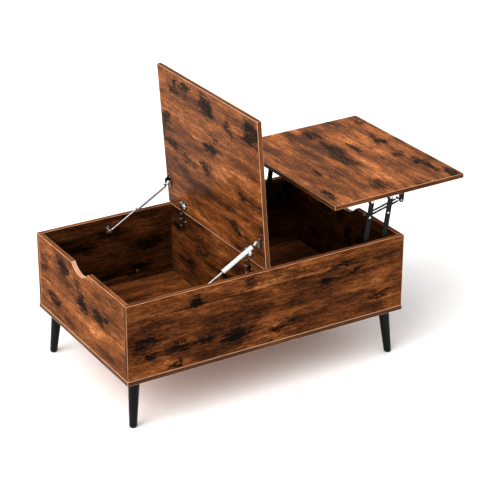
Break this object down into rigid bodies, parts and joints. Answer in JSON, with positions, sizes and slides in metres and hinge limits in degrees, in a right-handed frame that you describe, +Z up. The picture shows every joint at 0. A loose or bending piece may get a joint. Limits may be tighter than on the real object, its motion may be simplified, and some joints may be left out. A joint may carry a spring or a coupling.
{
  "type": "lift top coffee table",
  "caption": "Boxed coffee table on splayed legs: part of the top is a lid on gas struts, the rest lifts outwards on sprung parallel arms, each over a storage compartment.",
  "frame": {"origin": "on the floor, in the middle of the object's box with the lid open and the top raised to the right", "axes": "+X along the table towards the raised top, +Y from the long front panel to the back, +Z up"},
  "size_m": [1.2307, 0.62, 0.9166],
  "materials": {
    "wood": "rustic brown printed laminate on particle board, satin, with darker smoky patches and a light edge line",
    "black_legs": "black satin paint",
    "pads": "matte black",
    "black_steel": "black coated steel, low gloss",
    "chrome": "bright plated steel",
    "strut_tube": "silver grey coated tube, glossy"
  },
  "bodies": {
    "carcass": {"back_panel": "wood", "base_board": "wood", "foot_pad_back_left": "pads", "foot_pad_back_right": "pads", "foot_pad_front_left": "pads", "foot_pad_front_right": "pads", "front_panel": "wood", "hinge_arm_back": "chrome", "hinge_arm_front": "chrome", "hinge_plate_back": "chrome", "hinge_plate_front": "chrome", "left_end_panel": "wood", "leg_back_left": "black_legs", "leg_back_right": "black_legs", "leg_front_left": "black_legs", "leg_front_right": "black_legs", "leg_plate_back_left": "black_steel", "leg_plate_back_right": "black_steel", "leg_plate_front_left": "black_steel", "leg_plate_front_right": "black_steel", "lift_bracket_back": "black_steel", "lift_bracket_front": "black_steel", "lower_rivet_left_back": "chrome", "lower_rivet_left_front": "chrome", "lower_rivet_right_back": "chrome", "lower_rivet_right_front": "chrome", "partition": "wood", "right_end_panel": "wood", "strut_panel_bracket_back": "chrome", "strut_panel_bracket_front": "chrome"},
    "lid": {"hinge_cup_back": "chrome", "hinge_cup_front": "chrome", "lid": "wood", "strut_lid_bracket_back": "chrome", "strut_lid_bracket_front": "chrome"},
    "hinge_links": {"hinge_link_front": "chrome", "hinge_link_back": "chrome"},
    "strut_tubes": {"strut_tube_front": "strut_tube", "strut_tube_back": "strut_tube"},
    "strut_rods": {"strut_rod_front": "chrome", "strut_rod_back": "chrome"},
    "lift_arms_left": {"arm_spring_pin_back": "chrome", "arm_spring_pin_front": "chrome", "lift_arm_left_back": "black_steel", "lift_arm_left_front": "black_steel"},
    "lift_arms_right": {"lift_arm_right_front": "black_steel", "lift_arm_right_back": "black_steel"},
    "lift_top": {"lift_top": "wood", "rail_spring_pin_back": "chrome", "rail_spring_pin_front": "chrome", "top_rail_back": "black_steel", "top_rail_front": "black_steel", "upper_rivet_left_back": "chrome", "upper_rivet_left_front": "chrome", "upper_rivet_right_back": "chrome", "upper_rivet_right_front": "chrome"},
    "lift_springs": {"lift_spring_inner_front": "black_steel", "lift_spring_inner_back": "black_steel", "lift_spring_outer_front": "black_steel", "lift_spring_outer_back": "black_steel"}
  },
  "joints": [
    {"name": "lid_hinge", "type": "hinge", "parent": "carcass", "child": "lid", "pos_m": [-0.12489, 0, 0.43281], "axis": [0, -1, 0], "range_deg": [0, 85.75]},
    {"name": "hinge_link_swing", "type": "hinge", "parent": "carcass", "child": "hinge_links", "pos_m": [-0.13734, 0, 0.4198], "axis": [0, -1, 0], "range_deg": [0, 85.75]},
    {"name": "strut_swing", "type": "hinge", "parent": "lid", "child": "strut_tubes", "pos_m": [-0.1474, 0, 0.51036], "axis": [0, -1, 0], "range_deg": [-104.7, 0]},
    {"name": "strut_slide", "type": "slide", "parent": "strut_tubes", "child": "strut_rods", "axis": [0.8679, 0, 0.4968], "range_m": [0, 0.08688]},
    {"name": "lift", "type": "hinge", "parent": "carcass", "child": "lift_arms_left", "pos_m": [0.23861, 0, 0.3503], "axis": [0, -1, 0], "range_deg": [0, 80.36], "deforming": ["lift_spring_inner_front", "lift_spring_inner_back", "lift_spring_outer_front", "lift_spring_outer_back"]},
    {"name": "lift_follow", "type": "hinge", "parent": "carcass", "child": "lift_arms_right", "pos_m": [0.31081, 0, 0.35068], "axis": [0, -1, 0], "range_deg": [0, 80.36]},
    {"name": "top_level", "type": "hinge", "parent": "lift_arms_left", "child": "lift_top", "pos_m": [0.26995, 0, 0.55997], "axis": [0, -1, 0], "range_deg": [-80.96, 0]},
    {"name": "spring_swing", "type": "hinge", "parent": "lift_arms_left", "child": "lift_springs", "pos_m": [0.26204, 0, 0.50706], "axis": [0, -1, 0], "range_deg": [-100.02, 0]}
  ],
  "couplings": [
    {"joint": "hinge_link_swing", "follows": "lid_hinge", "ratio": 1},
    {"joint": "strut_swing", "follows": "lid_hinge", "ratio": -1.221},
    {"joint": "strut_slide", "follows": "lid_hinge", "m_per_rad": 0.058051},
    {"joint": "lift_follow", "follows": "lift", "ratio": 1},
    {"joint": "top_level", "follows": "lift", "ratio": -1.0075},
    {"joint": "spring_swing", "follows": "lift", "ratio": -1.2447}
  ]
}
